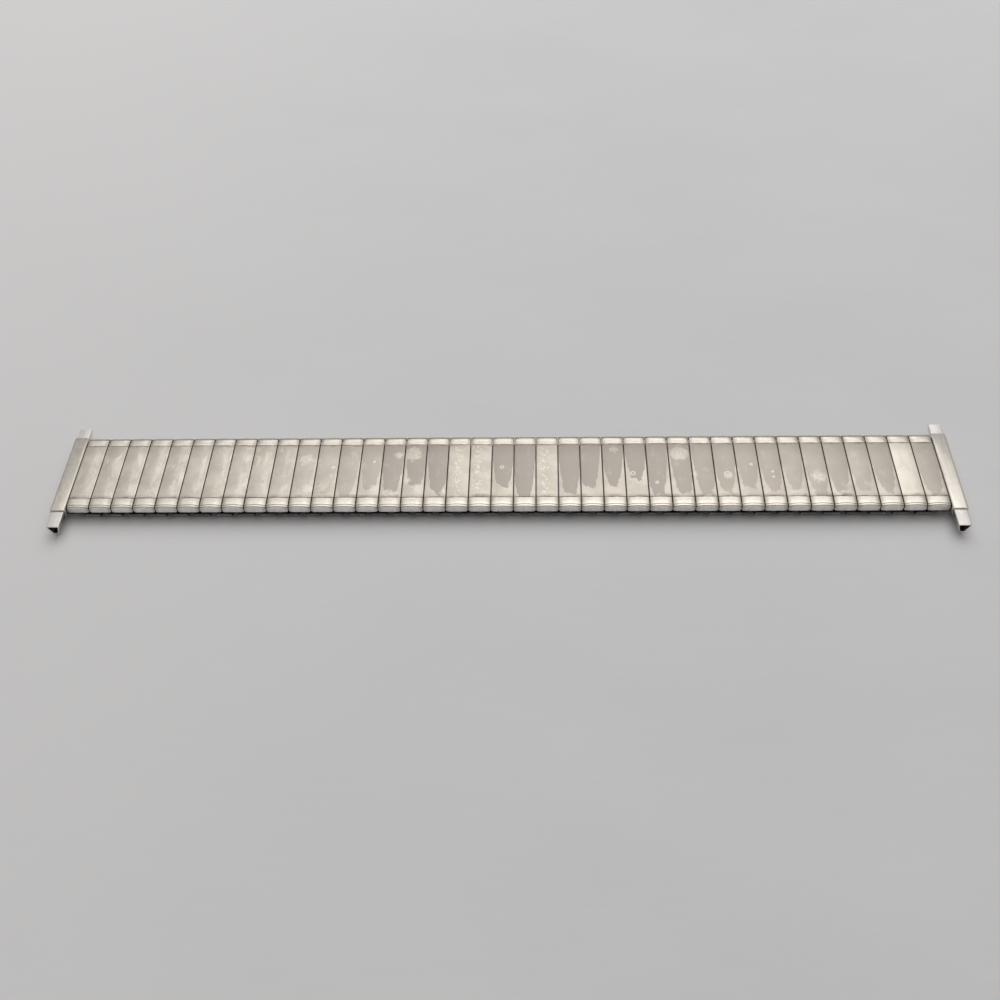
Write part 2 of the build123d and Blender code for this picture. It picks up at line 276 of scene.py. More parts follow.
# Noise patterns: stretch along the band, across it and upwards, then scale, detail,
# roughness and distortion
PATTERNS = {
    "film_warp": ((1.0, 1.0, 1.0), 0.75, 3.0, 0.55, 0.4),
    "specks": ((1.0, 1.0, 1.0), 2.4, 4.0, 0.62, 0.5),
    "streak_patches": ((0.9, 0.4, 1.0), 1.0, 3.0, 0.6, 0.3),
    "puddle_edges": ((1.0, 1.0, 1.0), 1.6, 5.0, 0.68, 0.8),
    "haze": ((1.0, 1.0, 1.0), 0.35, 3.0, 0.5, 0.0),
    "blotches": ((1.0, 0.55, 1.0), 0.8, 3.0, 0.6, 0.0),
    "dirt_clumps": ((0.5, 0.1, 1.0), 1.0, 3.0, 0.6, 0.0),
    "satin_grain": ((14.0, 0.8, 1.0), 1.0, 3.0, 0.6, 0.0),
    "scratches": ((1.2, 9.0, 1.0), 1.0, 4.0, 0.7, 1.5),
    "metal_patches": ((1.0, 1.0, 1.0), 0.9, 3.0, 0.55, 0.5),
    "table_smears": ((0.02, 0.04, 1.0), 1.0, 3.0, 0.5, 0.0),
    "table_grain": ((0.12, 1.1, 1.0), 1.0, 3.0, 0.7, 0.0),
}

# Plain metals: darkest and lightest colour, roughness range, and the grain's stretch
METALS = {
    # The polished ends and the rolled lip take painted shade towards the links' sides
    "polished_ends": {
        "tones": ((0.70, 0.65, 0.575, 1), (0.80, 0.75, 0.665, 1)),
        "rough": (0.18, 0.25), "stretch": (0.5, 3.5, 1.0), "bump": 0.05, "side_shade": 0.6,
    },
    # The rolled lip's tones are raised above the polished ends' as painted light, brightening its
    # reflection
    "rolled_lip_lightened": {
        "tones": ((0.76, 0.745, 0.735, 1), (0.88, 0.865, 0.855, 1)),
        "rough": (0.50, 0.60), "stretch": (3.0, 1.0, 1.0), "bump": 0.08, "side_shade": 0.5,
    },
    # Dark metal: soiling and painted shade in the shells' grooves, and painted shade on the shells'
    # cut sides, inside the sleeves and along the bottom flaps' upper edges
    "groove_dirt_and_shade": {
        "tones": ((0.15, 0.125, 0.10, 1), (0.27, 0.225, 0.185, 1)),
        "rough": (0.45, 0.6), "stretch": (4, 1, 1),
    },
    # Soiling and painted shade along the sunk line at each end of a panel
    "step_dirt_and_shade": {
        "tones": ((0.22, 0.185, 0.145, 1), (0.52, 0.47, 0.40, 1)),
        "rough": (0.4, 0.5), "stretch": (0.35, 0.2, 1), "scale": 1.6,
    },
    "sleeve_sheet": {
        "tones": ((0.25, 0.24, 0.23, 1), (0.40, 0.385, 0.37, 1)),
        "rough": (0.30, 0.40), "stretch": (5.0, 0.5, 1.0), "bump": 0.08,
    },
    "bottom_flap": {
        "tones": ((0.30, 0.29, 0.28, 1), (0.48, 0.47, 0.46, 1)),
        "rough": (0.26, 0.4), "stretch": (5, 1, 5),
    },
    # Spring steel darkened as painted shade, so that the notches between the bottom flaps look
    # black
    "shade_dark_spring_wire": {
        "tones": ((0.12, 0.115, 0.11, 1), (0.24, 0.23, 0.22, 1)),
        "rough": (0.26, 0.36), "stretch": (1, 1, 1), "scale": 3.0,
    },
    # The two casings are one polish: the left is toned darker as painted shade, the right lighter
    # as painted light
    "left_casing_polish": {
        "tones": ((0.52, 0.475, 0.42, 1), (0.60, 0.555, 0.50, 1)),
        "rough": (0.20, 0.24), "stretch": (1.5, 0.15, 1.5), "bump": 0.06,
    },
    "right_casing_polish": {
        "tones": ((0.62, 0.58, 0.53, 1), (0.68, 0.64, 0.58, 1)),
        "rough": (0.20, 0.24), "stretch": (1.5, 0.15, 1.5), "bump": 0.06,
    },
    "drawn_tube": {
        "tones": ((0.68, 0.64, 0.61, 1), (0.76, 0.72, 0.69, 1)),
        "rough": (0.20, 0.26), "stretch": (2, 0.3, 2), "bump": 0.06,
    },
}
METAL_BUMP = 0.2
METAL_BUMP_HEIGHT = 0.000005
METAL_DETAIL = 4.0
METAL_GRAIN_ROUGH = 0.6
METAL_TONE_RAMP = (0.75, 1.25)
METAL_ROUGH_SPAN = (0.25, 0.75)
# Painted shade towards a link's sides: how far its edge wanders, and the span across the link where
# it grows
SIDE_SHADE_WANDER = 0.5
SIDE_SHADE_SPAN = (0.5, 1.0)

# Floor, light and camera. Lamps and floor are in metres.
FLOOR_HALF = 2.0
FLOOR_CELLS = 8
FLOOR_Z = -0.00002
FLOOR_TONES = ((0.65, 0.645, 0.65, 1), (0.68, 0.675, 0.68, 1))
FLOOR_TONE_RAMP = (0.4, 1.1)
FLOOR_GRAIN_SHARE = 0.5
# Painted light: the table is paler towards the left
FLOOR_LIT_LEFT_TONE = (0.745, 0.735, 0.735, 1)
FLOOR_LIT_LEFT_RAMP = (-160.0, 40.0, 1.0, 0.0)
FLOOR_ROUGH = 0.6
FLOOR_BUMP = 0.1
FLOOR_BUMP_HEIGHT = 0.00005
WINDOW = {
    "place": (0.0, 0.51, 0.41), "size": (0.55, 0.06), "power": 0.06, "colour": (1.0, 0.985, 0.96),
}
CANOPY = {"place": (0.05, 0.386, 0.46), "size": (0.80, 0.48), "power": 1.5}
SKY_CENTRE = (0.0, 0.45, 0.89)
SKY_RAMP = (0.74, 0.92, 0.17, 1.14)
ZENITH_RAMP = (0.79, 0.96, 0.0, 0.55)
SKY_SIDE_RAMP = (-0.60, 0.40, 0.76, 1.03)
PALE_BACKGROUND_RAMP = (0.0, 0.6, 0.44, 0.68)
SKY_COLOUR = (1.0, 0.995, 0.985, 1)
CAMERA_PLACE = (6.02, -112.98, 138.82)
CAMERA_YAW, CAMERA_PITCH, CAMERA_ROLL = -3.397, 51.69, -2.849
CAMERA_LENS = 38.11
CAMERA_SENSOR = 36.0
CAMERA_NEAREST = 0.005


def link_x(number):
    """Left edge of a top link's pitch, counted from 1 at the left end."""
    return START + (number - 1) * PITCH


def top_body(number):
    """The body that a top link rides on."""
    split = number in SPLIT_LINKS or number == TOP_LINKS
    return f"top_link_{number:02d}" if split else f"link_{number:02d}"


def bottom_body(number):
    """The body that a bottom link rides on."""
    return f"bottom_link_{number:02d}" if number in SPLIT_LINKS else f"link_{number:02d}"


class Graph:
    """The shader nodes of one material or world, with short names for the common ones."""

    def __init__(self, tree):
        self.tree = tree

    def node(self, kind, inputs=None, **settings):
        """Add a node, set its properties, and give its inputs a value or a link."""
        made = self.tree.nodes.new("ShaderNode" + kind)
        for key, value in settings.items():
            setattr(made, key, value)
        for key, value in (inputs or {}).items():
            socket = made.inputs[key]
            if isinstance(value, bpy.types.NodeSocket):
                self.tree.links.new(value, socket)
            else:
                socket.default_value = value
        return made

    def maths(self, operation, first, second=0.0, clamp=False):
        inputs = {0: first, 1: second}
        return self.node("Math", inputs, operation=operation, use_clamp=clamp).outputs[0]

    def add(self, first, second):
        return self.maths("ADD", first, second)

    def subtract(self, first, second):
        return self.maths("SUBTRACT", first, second)

    def multiply(self, first, second):
        return self.maths("MULTIPLY", first, second)

    def highest(self, first, second, clamp=False):
        return self.maths("MAXIMUM", first, second, clamp)

    def apart(self, first, second):
        """How far apart two values are."""
        return self.maths("ABSOLUTE", self.subtract(first, second))

    def swing(self, value, width):
        """A value from 0 to 1, made to swing about 0 over the given width."""
        return self.multiply(self.subtract(value, 0.5), width)

    def remap(self, value, from_low, from_high, to_low=0.0, to_high=1.0):
        inputs = {"Value": value, "From Min": from_low, "From Max": from_high}
        inputs.update({"To Min": to_low, "To Max": to_high})
        return self.node("MapRange", inputs, interpolation_type="SMOOTHSTEP").outputs["Result"]

    def mix(self, share, first, second):
        return self.node("Mix", {0: share, 6: first, 7: second}, data_type="RGBA").outputs[2]

    def noise(self, stretch, scale, detail, rough, distortion=0.0):
        inputs = {"Vector": self.millimetres(stretch), "Scale": scale, "Detail": detail}
        inputs.update({"Roughness": rough, "Distortion": distortion})
        return self.node("TexNoise", inputs).outputs["Fac"]

    def pattern(self, name):
        return self.noise(*PATTERNS[name])

    def distance(self, place, point):
        inputs = {0: place, 1: point}
        return self.node("VectorMath", inputs, operation="DISTANCE").outputs["Value"]

    def millimetres(self, stretch=(1.0, 1.0, 1.0)):
        """The piece's own coordinates in millimetres, stretched for grain."""
        place = self.node("TexCoord").outputs["Object"]
        factors = tuple(share / MM for share in stretch)
        return self.node("VectorMath", {0: place, 1: factors}, operation="MULTIPLY").outputs[0]

    def place_on_link(self, place):
        """Place along the band and across it, the link's number from 0, and -1 to 1 on the link."""
        axes = self.node("SeparateXYZ", {0: place})
        along = self.maths("DIVIDE", self.subtract(axes.outputs[0], START), PITCH)
        share = self.multiply(self.subtract(self.maths("FRACT", along), 0.5), 2.0)
        return axes.outputs[0], axes.outputs[1], self.maths("FLOOR", along), share

    def link(self, value, socket):
        self.tree.links.new(value, socket)

    def bump(self, shader, height, strength, distance):
        inputs = {"Height": height, "Strength": strength, "Distance": distance}
        self.link(self.node("Bump", inputs).outputs[0], shader.inputs["Normal"])


def start_material(name, **constants):
    material = bpy.data.materials.new(name)
    material.use_nodes = True
    shader = material.node_tree.nodes["Principled BSDF"]
    for key, value in constants.items():
        shader.inputs[key].default_value = value
    return material, Graph(material.node_tree), shader


def inside_film(graph, x, y, offset, draw):
    """How far a point lies inside the film, whose tongues run forwards to a rounded tip."""
    reach = graph.remap(draw, 0.0, 1.0, *FILM_REACH)
    shorter = graph.remap(graph.apart(x, SHORT_TONGUES_X), *SHORT_TONGUES_RAMP)
    reach = graph.add(reach, shorter)
    bow = graph.maths("POWER", graph.maths("ABSOLUTE", offset), FILM_TIP_POWER)
    bow = graph.multiply(bow, FILM_TIP_LENGTH)
    warp = graph.swing(graph.pattern("film_warp"), FILM_WARP)
    return graph.add(graph.subtract(graph.subtract(y, reach), bow), warp)


def lacy_specks(graph, speck, offset, lace, rim):
    """Bright and dusky specks in bands along the laced panels and beside the film."""
    near = graph.remap(graph.apart(offset, LACE_ACROSS), *LACE_RAMP)
    stray = graph.multiply(near, graph.multiply(rim, STRAY_LACE))
    laced = graph.highest(graph.multiply(near, lace), stray)
    bright = graph.multiply(graph.remap(speck, *BRIGHT_RAMP), laced)
    dusky = graph.multiply(graph.remap(graph.apart(speck, DUSKY_SPECK), *DUSKY_RAMP), laced)
    return bright, dusky


def pale_streaks(graph, x, share, clean):
    """Pale streaks along the panels near the left end, and the shine of the clean panel."""
    patches = graph.pattern("streak_patches")
    streak = graph.remap(graph.apart(share, STREAK_ACROSS), *STREAK_RAMP)
    streak = graph.multiply(streak, graph.remap(patches, *STREAK_PATCH_RAMP))
    streak = graph.multiply(streak, graph.remap(x, *STREAK_END_RAMP))
    return graph.highest(streak, graph.multiply(clean, graph.remap(patches, *CLEAN_RAMP)))


def dried_puddles(graph, place, speck):
    """Dried puddles with wavy edges, mottled inside."""
    wander = graph.swing(graph.pattern("puddle_edges"), PUDDLE_WANDER)
    puddles = 0.0
    for x, y, radius in PUDDLES:
        away = graph.add(graph.distance(place, (x, y, BAND_HEIGHT)), wander)
        low, high = (radius + reach for reach in PUDDLE_FADE)
        rim = graph.remap(graph.apart(away, radius), *PUDDLE_RIM_RAMP)
        puddle = graph.add(graph.remap(away, low, high, PUDDLE_SHARE, 0.0), rim)
        puddles = graph.highest(puddles, puddle)
    return graph.multiply(puddles, graph.remap(speck, *PUDDLE_MOTTLE_RAMP))


def dried_rings(graph, place):
    """Small dried rings."""
    rings = 0.0
    for x, y, radius in RINGS:
        line = graph.apart(graph.distance(place, (x, y, BAND_HEIGHT)), radius)
        rings = graph.add(rings, graph.remap(line, *RING_RAMP))
    return rings


def panel_soiling_and_shade(graph, y, haze):
    """Soiling in clumps with painted shade beside the sunk lines, and painted shade darkening the
    back ends.
    """
    soiling_and_shade = graph.add(graph.apart(y, BAND_Y), graph.swing(haze, SOILING_AND_SHADE_WANDER))
    clumps = graph.remap(graph.pattern("dirt_clumps"), *CLUMP_RAMP)
    soiling_and_shade = graph.multiply(graph.remap(soiling_and_shade, *SOILING_AND_SHADE_RAMP), clumps)
    return graph.highest(soiling_and_shade, graph.remap(graph.subtract(y, BAND_Y), *BACK_END_SHADE_RAMP))


def panel_material():
    """Satin centre panels, with the worn film's tongues, specks, puddles and rings on them."""
    material, graph, shader = start_material("satin_panel", Metallic=1.0)
    place = graph.millimetres()
    x, y, number, share = graph.place_on_link(place)
    chance = graph.node("TexWhiteNoise", {"W": number}, noise_dimensions="1D")
    draws = graph.node("SeparateColor", {0: chance.outputs["Color"]}).outputs
    offset = graph.subtract(share, graph.swing(draws[1], FILM_LEAN))

    lace = 0.0
    for panel in LACED_PANELS:
        lace = graph.add(lace, graph.maths("COMPARE", number, panel - 1.0))
    clean = graph.maths("COMPARE", number, CLEAN_PANEL - 1.0)

    # The film is weak at the left end, and missing on the laced panels and the clean one
    inside = inside_film(graph, x, y, offset, draws[0])
    soft = graph.remap(x, *FILM_EDGE_RAMP)
    film = graph.remap(inside, graph.multiply(soft, -1.0), soft)
    rim = graph.subtract(graph.remap(inside, -FILM_RIM, 0.0), film)
    spread = graph.remap(x, *FILM_SPREAD_RAMP)
    worn = graph.multiply(spread, graph.remap(draws[2], *FILM_DRAW_RAMP))
    worn = graph.multiply(worn, graph.subtract(1.0, graph.add(lace, clean)))
    worn = graph.multiply(worn, graph.remap(x, *FILM_THIN_RAMP))
    film = graph.multiply(film, worn)

    speck, haze = graph.pattern("specks"), graph.pattern("haze")
    bright, dusky = lacy_specks(graph, speck, offset, lace, rim)
    base = graph.mix(graph.remap(haze, *HAZE_RAMP), WARM_MID, WARM_LIGHT)
    base = graph.mix(film, base, WARM_DARK)
    base = graph.mix(graph.multiply(dusky, DUSKY_SHARE), base, WARM_DARK)

    blotch = graph.remap(graph.pattern("blotches"), *BLOTCH_RAMP)
    pale = graph.multiply(blotch, graph.remap(spread, *BLOTCH_SPREAD_RAMP))
    pale = graph.highest(pale, pale_streaks(graph, x, share, clean))
    pale = graph.highest(pale, dried_puddles(graph, place, speck))
    pale = graph.highest(pale, graph.multiply(rim, graph.multiply(worn, RIM_SHARE)))
    pale = graph.highest(graph.highest(pale, bright), dried_rings(graph, place), clamp=True)
    base = graph.mix(pale, base, WARM_PALE)
    # Soiling and painted shade beside the sunk lines, and painted shade at the back ends
    base = graph.mix(panel_soiling_and_shade(graph, y, haze), base, DIRT_AND_SHADE_TONE)
    graph.link(base, shader.inputs["Base Color"])

    grain = graph.pattern("satin_grain")
    rougher = graph.multiply(film, FILM_ROUGHER)
    rough = graph.add(graph.remap(grain, *PANEL_ROUGH_RAMP), rougher)
    graph.link(rough, shader.inputs["Roughness"])
    height = graph.add(grain, graph.multiply(graph.pattern("scratches"), SCRATCH_HEIGHT))
    height = graph.add(height, graph.multiply(graph.add(bright, film), MARK_HEIGHT))
    graph.bump(shader, height, PANEL_BUMP, PANEL_BUMP_HEIGHT)
    return material


def metal(name, tones, rough, stretch, scale=1.0, bump=METAL_BUMP, side_shade=0.0):
    """Plain metal whose tone and roughness drift along the given grain.

    Side shade is the share of painted shade that darkens a link towards its sides, where its
    highlight falls off.
    """
    material, graph, shader = start_material(name, Metallic=1.0)
    grain = graph.noise(stretch, scale, METAL_DETAIL, METAL_GRAIN_ROUGH)
    patch = graph.pattern("metal_patches")
    base = graph.mix(graph.remap(graph.add(grain, patch), *METAL_TONE_RAMP), *tones)
    # Painted shade towards the link's sides
    if side_shade:
        side = graph.maths("ABSOLUTE", graph.place_on_link(graph.millimetres())[3])
        side = graph.add(side, graph.swing(patch, SIDE_SHADE_WANDER))
        base = graph.mix(graph.remap(side, *SIDE_SHADE_SPAN, 0.0, side_shade), base, DIRT_AND_SHADE_TONE)
    graph.link(base, shader.inputs["Base Color"])
    graph.link(graph.remap(patch, *METAL_ROUGH_SPAN, *rough), shader.inputs["Roughness"])
    graph.bump(shader, grain, bump, METAL_BUMP_HEIGHT)
    return material


satin = panel_material()
metals = {name: metal(name, **settings) for name, settings in METALS.items()}
groove, sheet_steel = metals["groove_dirt_and_shade"], metals["sleeve_sheet"]
shade_dark_spring_wire = metals["shade_dark_spring_wire"]


def piece(name, bm, materials, body, cad_node, sharp=40):
    """Turn a bmesh in millimetres into a piece that rides on a body."""
    bmesh.ops.recalc_face_normals(bm, faces=bm.faces)
    bmesh.ops.scale(bm, vec=(MM, MM, MM), verts=bm.verts)
    mesh = bpy.data.meshes.new(name)
    bm.to_mesh(mesh)
    bm.free()
    for material in materials:
        mesh.materials.append(material)
    mesh.shade_smooth()
    mesh.set_sharp_from_angle(angle=radians(sharp))
    made = bpy.data.objects.new(name, mesh)
    bpy.context.scene.collection.objects.link(made)
    if body:
        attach(made, body)
    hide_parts(cad_node)
    return made


def loft(bm, rings, closed=False):
    """Join rings of points into faces, back to the first ring or with both ends capped."""
    made = [[bm.verts.new(point) for point in ring] for ring in rings]
    count = len(made[0])
    pairs = list(zip(made, made[1:]))
    if closed:
        pairs.append((made[-1], made[0]))
    for low, high in pairs:
        for index in range(count):
            after = (index + 1) % count
            bm.faces.new((low[index], low[after], high[after], high[index]))
    if not closed:
        bm.faces.new(made[0])
        bm.faces.new(made[-1])


def shell_half_line(share, edge):
    """Half of a shell's outer line, from the middle of the panel to the flap's foot.

    share runs from -1 to 1 across the shell, and edge is the distance to its nearer side.
    Each point carries the material of the face between it and the next point.
    """
    top = BAND_HEIGHT - CROWN * share * share
    line = [(y, top, SATIN) for y in PANEL_STATIONS]
    line += [
        (PANEL_HALF, top - PANEL_EDGE_DROP, STEP),
        (PANEL_HALF + STEP_WALL_RUN, top - STEP_DEPTH, STEP),
        (STEP_END - STEP_RISE_RUN, top - STEP_DEPTH, STEP),
        (STEP_END, top - STEP_EDGE_DROP, POLISHED),
    ]
    ridge = RIDGE + RIDGE_BEND * share * share
    fall = RIDGE_CROWN * share**4
    for part in END_STATIONS:
        y = STEP_END + part * (ridge - STEP_END)
        drop = END_DROP + END_FALL * part - END_SWELL * part * (1 - part)
        drop += fall * min(1.0, RIDGE_CROWN_START * part)
        line.append((y, top - drop, POLISHED))
    low = top - SHOULDER_TOP
    line += [(ridge + run, low + rise - fall, zone) for run, rise, zone in RIDGE_GROOVE]

    crease = CREASE_TURN - CREASE_BEND * share * share
    turns = [(crease, 0.0, GROOVE)]
    turns += [(crease - CREASE_WIDTH * part, CREASE_DEPTH, GROOVE) for part in CREASE_WALLS]
    turns += [((crease - CREASE_WIDTH) * part, 0.0, zone) for part, zone in SHOULDER_STATIONS]
    turns += [(SHOULDER_END_TURN, 0.0, LIP)]
    for turn, depth, zone in turns:
        radius = SHOULDER_RADIUS - depth
        y = HALF_WIDTH - LIP_FLARE - SHOULDER_RADIUS + radius * cos(radians(turn))
        line.append((y, low - SHOULDER_RADIUS + radius * sin(radians(turn)), zone))

    run = max(0.0, FLAP_CORNER - edge)
    foot = FLAP_FOOT + FLAP_CORNER - sqrt(FLAP_CORNER**2 - run**2)
    line += [
        (HALF_WIDTH - LIP_FLARE * FLARE_MIDDLE, (low + FLAP_FOOT) / 2 - FLARE_MIDDLE_DROP, LIP),
        (HALF_WIDTH, foot + FOOT_ROUND, LIP),
        (HALF_WIDTH - FOOT_INSET, foot, LIP),
    ]
    least, flap_start = SHELL_UNDER + SHELL_LEAST_WALL, FLAP_INNER - INNER_CORNER
    return [(y, max(z, least) if y < flap_start else z, zone) for y, z, zone in line]


def under_point(y, z):
    """The point of a shell's inner face that lies under a point of its outer face."""
    centre_y, centre_z = FLAP_INNER - INNER_CORNER, SHELL_UNDER - INNER_CORNER
    if y <= centre_y:
        return y, SHELL_UNDER
    if z > centre_z:
        turn = atan2(z - centre_z, y - centre_y)
        return centre_y + INNER_CORNER * cos(turn), centre_z + INNER_CORNER * sin(turn)
    return FLAP_INNER, z


def shell_sections():
    """Places across a shell as (x, distance to the nearer side, how far its edge is rounded)."""
    rounds = EDGE_ROUND + (0.0,) * (len(EDGE_STATIONS) - len(EDGE_ROUND))
    sections = [(-SHELL_HALF + edge, edge, inset) for edge, inset in zip(EDGE_STATIONS, rounds)]
    sections.append((0.0, SHELL_HALF, 0.0))
    return sections + [(-x, edge, inset) for x, edge, inset in reversed(sections[:-1])]


def make_shell(number):
    """One decorative top shell: crowned panel, stepped ends, ridges and folded flaps."""
    bm = bmesh.new()
    middle = link_x(number) + PITCH / 2
    outer_grid, inner_grid = [], []
    for x, edge, inset in shell_sections():
        half = shell_half_line(x / SHELL_HALF, edge)
        outer, inner = [], []
        for y, z, zone in half:
            under_y, under_z = under_point(y, z)
            pull = inset / hypot(y - under_y, z - under_z)
            outer.append((y + (under_y - y) * pull, z + (under_z - z) * pull))
            inner.append((under_y, under_z))
        for side, grid in ((outer, outer_grid), (inner, inner_grid)):
            full = [(-y, z) for y, z in reversed(side[1:])] + side
            grid.append([bm.verts.new((middle + x, BAND_Y + y, z)) for y, z in full])
    zones = [zone for y, z, zone in half[:-1]]
    zones = list(reversed(zones)) + zones
    last = len(zones)
    for low in range(len(outer_grid) - 1):
        high = low + 1
        for grid, inside in ((outer_grid, False), (inner_grid, True)):
            for j in range(last):
                corners = (grid[low][j], grid[low][j + 1], grid[high][j + 1], grid[high][j])
                bm.faces.new(corners).material_index = PLAIN if inside else zones[j]
        for j in (0, last):
            corners = (outer_grid[low][j], outer_grid[high][j])
            corners += (inner_grid[high][j], inner_grid[low][j])
            bm.faces.new(corners).material_index = PLAIN
    # The shell's cut sides in dark groove metal, as painted shade in the gaps between shells
    for outer, inner in ((outer_grid[0], inner_grid[0]), (outer_grid[-1], inner_grid[-1])):
        for j in range(last):
            corners = (outer[j], outer[j + 1], inner[j + 1], inner[j])
            bm.faces.new(corners).material_index = GROOVE
    slots = [satin, metals["polished_ends"], groove, metals["rolled_lip_lightened"], sheet_steel]
    slots += [metals["step_dirt_and_shade"]]
    body = top_body(number)
    piece(f"shell_{number:02d}", bm, slots, body, body, sharp=28)


def rounded_rectangle(width, height, corner, steps=5):
    """Points round a rectangle with rounded corners, about its middle."""
    points = []
    for turn in range(4):
        sign_x = 1 if turn in (0, 3) else -1
        sign_z = 1 if turn in (0, 1) else -1
        for step in range(steps + 1):
            angle = (turn + step / steps) * pi / 2
            x = sign_x * (width / 2 - corner) + corner * cos(angle)
            z = sign_z * (height / 2 - corner) + corner * sin(angle)
            points.append((x, z))
    return points


def sleeve(bm, x, floor, width):
    """A flat tube of thin sheet, open at the front and back, with painted shade on its inside and
    rims.
    """
    outer = rounded_rectangle(width, SLEEVE_HEIGHT, SLEEVE_CORNER)
    wall = 2 * SLEEVE_WALL
    inner = rounded_rectangle(width - wall, SLEEVE_HEIGHT - wall, SLEEVE_CORNER - SLEEVE_WALL)
    middle_z = floor + SLEEVE_HEIGHT / 2
    rings = []
    for line, side in ((outer, -1), (outer, 1), (inner, 1), (inner, -1)):
        y = BAND_Y + side * SLEEVE_HALF_LENGTH
        rings.append([(x + px, y, middle_z + pz) for px, pz in line])
    first = len(bm.faces)
    loft(bm, rings, closed=True)
    bm.faces.ensure_lookup_table()
    for face in bm.faces[first : first + len(outer)]:
        face.material_index = OUTSIDE
    # Painted shade inside the sleeve and on its rims
    for face in bm.faces[first + len(outer) :]:
        face.material_index = SHADED


def bottom_flap(bm, x, side, steps=6):
    """The flap turned up at one end of a bottom sleeve, with painted shade along its rounded upper
    edge.
    """
    bend, inner_bend = BOTTOM_FLAP_BEND, BOTTOM_FLAP_BEND - SLEEVE_WALL
    outer_y, inner_y = BOTTOM_HALF_LENGTH, BOTTOM_HALF_LENGTH - FLAP_WALL
    root = SLEEVE_HALF_LENGTH - SLEEVE_WALL
    pairs = [((root, 0.0), (root, SLEEVE_WALL))]
    for step in range(steps + 1):
        turn = pi / 2 * step / steps
        outer = (outer_y - bend + bend * sin(turn), bend - bend * cos(turn))
        inner = (inner_y - inner_bend + inner_bend * sin(turn), bend - inner_bend * cos(turn))
        pairs.append((outer, inner))
    for part in BOTTOM_FLAP_STATIONS:
        z = bend + part * (BOTTOM_FLAP_TOP - bend)
        pairs.append(((outer_y, z), (inner_y, z)))
    rings = []
    for outer, inner in pairs:
        rise = max(0.0, outer[1] - (BOTTOM_FLAP_TOP - BOTTOM_FLAP_CORNER))
        rise = min(rise, BOTTOM_FLAP_CORNER - BOTTOM_FLAP_TIP)
        half = BOTTOM_FLAP_WIDTH / 2 - BOTTOM_FLAP_CORNER + sqrt(BOTTOM_FLAP_CORNER**2 - rise**2)
        rings.append([
            (x - half, BAND_Y + side * outer[0], outer[1]),
            (x + half, BAND_Y + side * outer[0], outer[1]),
            (x + half, BAND_Y + side * inner[0], inner[1]),
            (x - half, BAND_Y + side * inner[0], inner[1]),
        ])
    before = len(bm.faces)
    loft(bm, rings)
    bm.faces.ensure_lookup_table()
    for face in bm.faces[before:]:
        lowest = min(vert.co.z for vert in face.verts)
        # Painted shade along the flap's upper edge, for the dark slit under the shell's lip
        shaded = lowest > BOTTOM_FLAP_TOP - BOTTOM_FLAP_SHADE_BAND
        face.material_index = SHADED if shaded else FLAP


def leaf(bm, x, width, middle_z, end_z):
    """A bowed strip of spring steel lying along the sleeve."""
    half = width / 2
    rings = []
    for step in range(LEAF_STEPS + 1):
        share = 2 * step / LEAF_STEPS - 1
        y = BAND_Y + share * LEAF_LENGTH / 2
        z = middle_z + (end_z - middle_z) * share * share
        corners = ((-half, 0.0), (half, 0.0), (half, LEAF_THICK), (-half, LEAF_THICK))
        rings.append([(x + across, y, z + above) for across, above in corners])
    loft(bm, rings)


def rounded_path(corners, radius, steps=5):
    """Points along straight runs whose corners are rounded."""
    points = [Vector(corners[0])]
    for before, corner, after in zip(corners, corners[1:], corners[2:]):
        before, corner, after = Vector(before), Vector(corner), Vector(after)
        back, on = (before - corner).normalized(), (after - corner).normalized()
        half = back.angle(on) / 2
        reach = radius / (sin(half) / cos(half))
        centre = corner + (back + on).normalized() * (radius / sin(half))
        first, last = corner + back * reach - centre, corner + on * reach - centre
        sweep = first.angle(last)
        for step in range(steps + 1):
            part = step / steps
            mixed = (first * sin((1 - part) * sweep) + last * sin(part * sweep)) / sin(sweep)
            points.append(centre + mixed)
    points.append(Vector(corners[-1]))
    return points


def wire(bm, points, radius, sides=10):
    """A round wire along the points, with flat ends."""
    points = [Vector(point) for point in points]
    rings = []
    across = None
    for index, point in enumerate(points):
        before, after = points[max(0, index - 1)], points[min(len(points) - 1, index + 1)]
        along = (after - before).normalized()
        if across is None:
            across = along.orthogonal().normalized()
        across = (across - along * across.dot(along)).normalized()
        other = along.cross(across)
        turns = [2 * pi * side / sides for side in range(sides)]
        rings.append([point + (across * cos(turn) + other * sin(turn)) * radius for turn in turns])
    loft(bm, rings)


def bows(bm, x, route):
    """Both bows of one side of a bottom link: lower leg, web and upper leg each."""
    low_x, high_x = route
    for side in (-1, 1):
        inner, outer = BAND_Y + side * (WEB_Y - LEG_LENGTH), BAND_Y + side * WEB_Y
        corners = [
            (x + low_x, inner, LOW_LEG_Z),
            (x + low_x, outer, LOW_LEG_Z),
            (x + high_x, outer, HIGH_LEG_Z),
            (x + high_x, inner, HIGH_LEG_Z),
        ]
        wire(bm, rounded_path(corners, BOW_BEND), WIRE_RADIUS)


def end_outline(grow, steps=6):
    """Outline of an end piece's section: flat on top, its sides leaning in to a round bottom."""
    arcs = (
        (HOLLOW_HALF, 0.0, grow, pi / 2, -SIDE_LEAN),
        (0.0, -HOLLOW_DEPTH, HOLLOW_ROUND + grow, -SIDE_LEAN, SIDE_LEAN - pi),
        (-HOLLOW_HALF, 0.0, grow, SIDE_LEAN - pi, -3 * pi / 2),
    )
    points = []
    for x, z, radius, start, end in arcs:
        for step in range(steps + 1):
            turn = start + (end - start) * step / steps
            points.append((x + radius * cos(turn), z + radius * sin(turn)))
    return points


